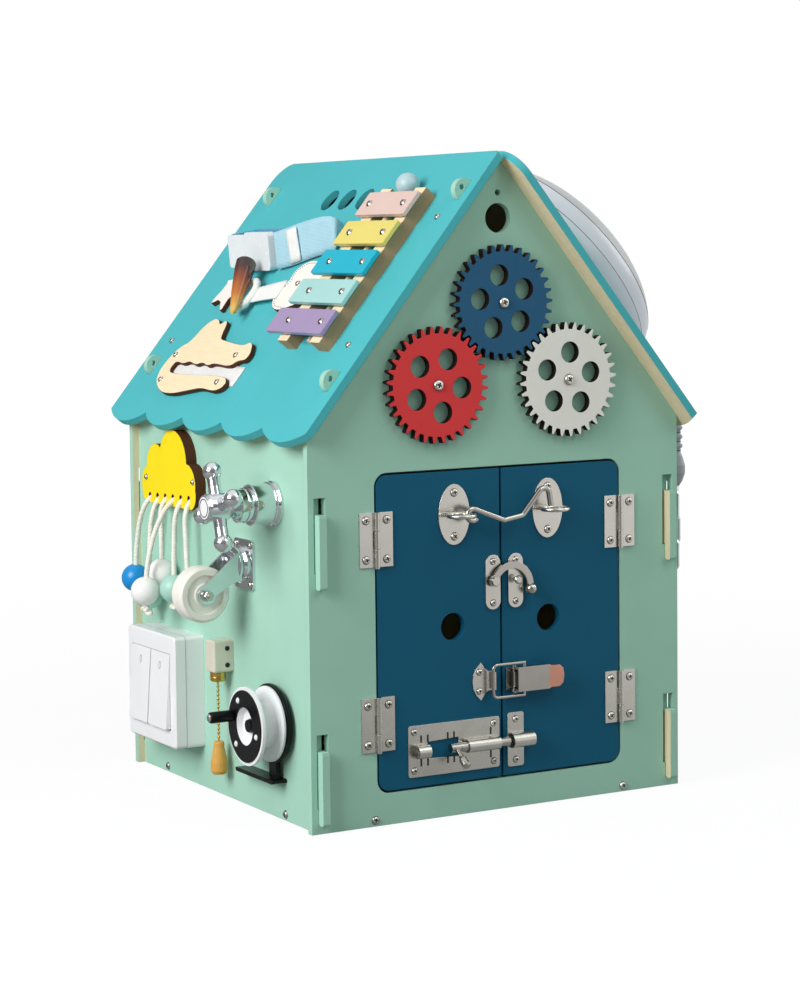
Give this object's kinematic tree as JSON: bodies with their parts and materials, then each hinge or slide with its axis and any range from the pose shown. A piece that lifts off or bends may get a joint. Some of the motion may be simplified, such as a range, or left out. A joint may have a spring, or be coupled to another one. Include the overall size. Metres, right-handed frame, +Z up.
{
  "type": "busy house",
  "caption": "free-standing plywood activity house with two latched doors, meshing gears, a tap, a caster, switches, a reel, a xylophone and beads to play with",
  "frame": {"origin": "centre of the house's base, on the floor", "axes": "+Z up, the front with the doors faces -Y, +X to the right of someone who faces the front"},
  "size_m": [0.4087, 0.3485, 0.4798],
  "materials": {
    "mint_wall": "matt painted plywood",
    "bare_ply": "bare plywood",
    "turquoise_roof": "matt painted plywood",
    "petrol_door": "matt painted plywood",
    "nickel": "nickel-plated steel",
    "red_paint": "painted plywood",
    "blue_paint": "painted plywood",
    "white_paint": "painted plywood",
    "yellow_board": "painted plywood",
    "white_cord": "round woven cord",
    "bead_paint": "painted wooden beads",
    "chrome_plate": "bright plate",
    "grey_tyre": "smooth grey tread",
    "white_plastic": "smooth",
    "dark_plastic": "smooth",
    "chain_metal": "bright plate",
    "honey_wood": "turned, clear varnish",
    "black_plastic": "fine grain",
    "bar_enamel": "coloured enamel, one colour for each bar",
    "mallet_paint": "painted ball on a bare stick",
    "white_board": "white painted plywood with burnt edges",
    "horn": "polished",
    "blue_webbing": "woven webbing",
    "clear_buckle": "translucent",
    "lamp_grey": "smooth",
    "grey_plastic": "smooth"
  },
  "bodies": {
    "house": {"front_panel": "mint_wall", "back_panel": "mint_wall", "left_panel": "mint_wall", "right_panel": "mint_wall", "floor_panel": "bare_ply", "left_roof": "turquoise_roof", "right_roof": "turquoise_roof", "frame_hinge_leaves": "nickel", "panel_screws": "nickel", "cloud_board": "yellow_board", "bead_cords": "white_cord", "beads": "bead_paint", "tap_body": "chrome_plate", "caster_plate": "chrome_plate", "switch_box": "white_plastic", "pull_switch": "dark_plastic", "reel_frame": "black_plastic", "xylophone_rails": "bare_ply", "xylophone_bars": "bar_enamel", "bar_pins": "nickel", "toggle_boards": "white_board", "horn_toggle": "horn", "strap": "blue_webbing", "buckle": "clear_buckle", "animal_board": "bare_ply", "lamp_base": "white_plastic", "wall_chain": "grey_plastic"},
    "left_leaf": {"left_door": "petrol_door", "left_hinge_leaves": "nickel", "hook_plate": "nickel", "arm_plate": "nickel", "toggle_catch": "nickel", "bolt_plate": "nickel"},
    "right_leaf": {"right_door": "petrol_door", "right_hinge_leaves": "nickel", "hook_catch": "nickel", "arm_keeper": "nickel", "toggle_base": "nickel", "bolt_keeper": "nickel"},
    "hook": {"cabin_hook": "nickel"},
    "latch_arm": {"swing_arm": "nickel"},
    "lever": {"toggle_lever": "nickel"},
    "bail": {"toggle_bail": "nickel"},
    "bolt": {"bolt_rod": "nickel"},
    "bolt_grip": {"bolt_knob": "nickel"},
    "gear_blue": {"blue_gear": "blue_paint"},
    "gear_red": {"red_gear": "red_paint"},
    "gear_white": {"white_gear": "white_paint"},
    "tap": {"tap_handle": "chrome_plate"},
    "swivel": {"caster_fork": "chrome_plate"},
    "wheel": {"caster_wheel": "grey_tyre"},
    "rocker_left": {"left_rocker": "white_plastic"},
    "rocker_right": {"right_rocker": "white_plastic"},
    "pull": {"pull_chain": "chain_metal", "pull_knob": "honey_wood"},
    "spool": {"reel_spool": "white_plastic", "reel_cover": "black_plastic"},
    "crank": {"reel_handle": "black_plastic"},
    "beater": {"mallet": "mallet_paint"},
    "dome": {"lamp_dome": "lamp_grey"}
  },
  "joints": [
    {"name": "left_door_swing", "type": "hinge", "parent": "house", "child": "left_leaf", "pos_m": [-0.1042, -0.1542, 0.1377], "axis": [0, 0, -1], "range_deg": [0, 110]},
    {"name": "right_door_swing", "type": "hinge", "parent": "house", "child": "right_leaf", "pos_m": [0.1042, -0.1542, 0.1377], "axis": [0, 0, 1], "range_deg": [0, 110]},
    {"name": "cabin_hook_lift", "type": "hinge", "parent": "left_leaf", "child": "hook", "pos_m": [-0.0305, -0.1634, 0.2195], "axis": [0, -1, 0], "range_deg": [-9, 120]},
    {"name": "swing_arm_lift", "type": "hinge", "parent": "left_leaf", "child": "latch_arm", "pos_m": [-0.008, -0.152, 0.169], "axis": [0, -1, 0], "range_deg": [-10, 110]},
    {"name": "toggle_lever_lift", "type": "hinge", "parent": "right_leaf", "child": "lever", "pos_m": [0.008, -0.157, 0.096], "axis": [0, 0, -1], "range_deg": [0, 100]},
    {"name": "toggle_bail_swing", "type": "hinge", "parent": "lever", "child": "bail", "pos_m": [0.015, -0.1592, 0.096], "axis": [0, 0, -1], "range_deg": [-100, 0]},
    {"name": "bolt_slide", "type": "slide", "parent": "left_leaf", "child": "bolt", "axis": [-1, 0, 0], "range_m": [-0.006, 0.014]},
    {"name": "bolt_knob_turn", "type": "hinge", "parent": "bolt", "child": "bolt_grip", "pos_m": [-0.042, -0.15685, 0.0506], "axis": [1, 0, 0], "range_deg": [-70, 20]},
    {"name": "blue_gear_spin", "type": "hinge", "parent": "house", "child": "gear_blue", "pos_m": [0, -0.152, 0.37091], "axis": [0, -1, 0], "continuous": true},
    {"name": "red_gear_spin", "type": "hinge", "parent": "house", "child": "gear_red", "pos_m": [-0.05563, -0.152, 0.31339], "axis": [0, -1, 0], "continuous": true},
    {"name": "white_gear_spin", "type": "hinge", "parent": "house", "child": "gear_white", "pos_m": [0.05563, -0.152, 0.31339], "axis": [0, -1, 0], "continuous": true},
    {"name": "tap_turn", "type": "hinge", "parent": "house", "child": "tap", "pos_m": [-0.1825, -0.089, 0.229], "axis": [-1, 0, 0], "range_deg": [0, 180]},
    {"name": "caster_swivel", "type": "hinge", "parent": "house", "child": "swivel", "pos_m": [-0.1615, -0.0425, 0.1805], "axis": [-1, 0, 0], "range_deg": [-90, 90]},
    {"name": "caster_wheel_roll", "type": "hinge", "parent": "swivel", "child": "wheel", "pos_m": [-0.1895, -0.0425, 0.161], "axis": [0, 1, 0], "continuous": true},
    {"name": "left_rocker_tip", "type": "hinge", "parent": "house", "child": "rocker_left", "pos_m": [-0.1765, 0.09265, 0.0745], "axis": [0, -1, 0], "range_deg": [0, 8]},
    {"name": "right_rocker_tip", "type": "hinge", "parent": "house", "child": "rocker_right", "pos_m": [-0.1765, 0.05735, 0.0745], "axis": [0, -1, 0], "range_deg": [0, 8]},
    {"name": "chain_pull", "type": "slide", "parent": "house", "child": "pull", "axis": [0, 0, -1], "range_m": [0, 0.008], "stiffness_N_per_m": 60, "springref_m": -0.001},
    {"name": "reel_spin", "type": "hinge", "parent": "house", "child": "spool", "pos_m": [-0.1675, -0.091, 0.07], "axis": [-1, 0, 0], "continuous": true},
    {"name": "crank_spin", "type": "hinge", "parent": "spool", "child": "crank", "pos_m": [-0.1925, -0.07216, 0.07505], "axis": [-1, 0, 0], "continuous": true},
    {"name": "mallet_slide", "type": "slide", "parent": "house", "child": "beater", "axis": [0.594, 0, 0.8045], "range_m": [0, 0.14]},
    {"name": "lamp_press", "type": "slide", "parent": "house", "child": "dome", "axis": [-0.7754, 0, -0.6315], "range_m": [0, 0.003], "stiffness_N_per_m": 2500, "springref_m": -0.004}
  ],
  "couplings": [
    {"joint": "right_door_swing", "follows": "left_door_swing", "ratio": 1},
    {"joint": "toggle_bail_swing", "follows": "toggle_lever_lift", "ratio": -1},
    {"joint": "red_gear_spin", "follows": "blue_gear_spin", "ratio": -1},
    {"joint": "white_gear_spin", "follows": "blue_gear_spin", "ratio": -1}
  ]
}
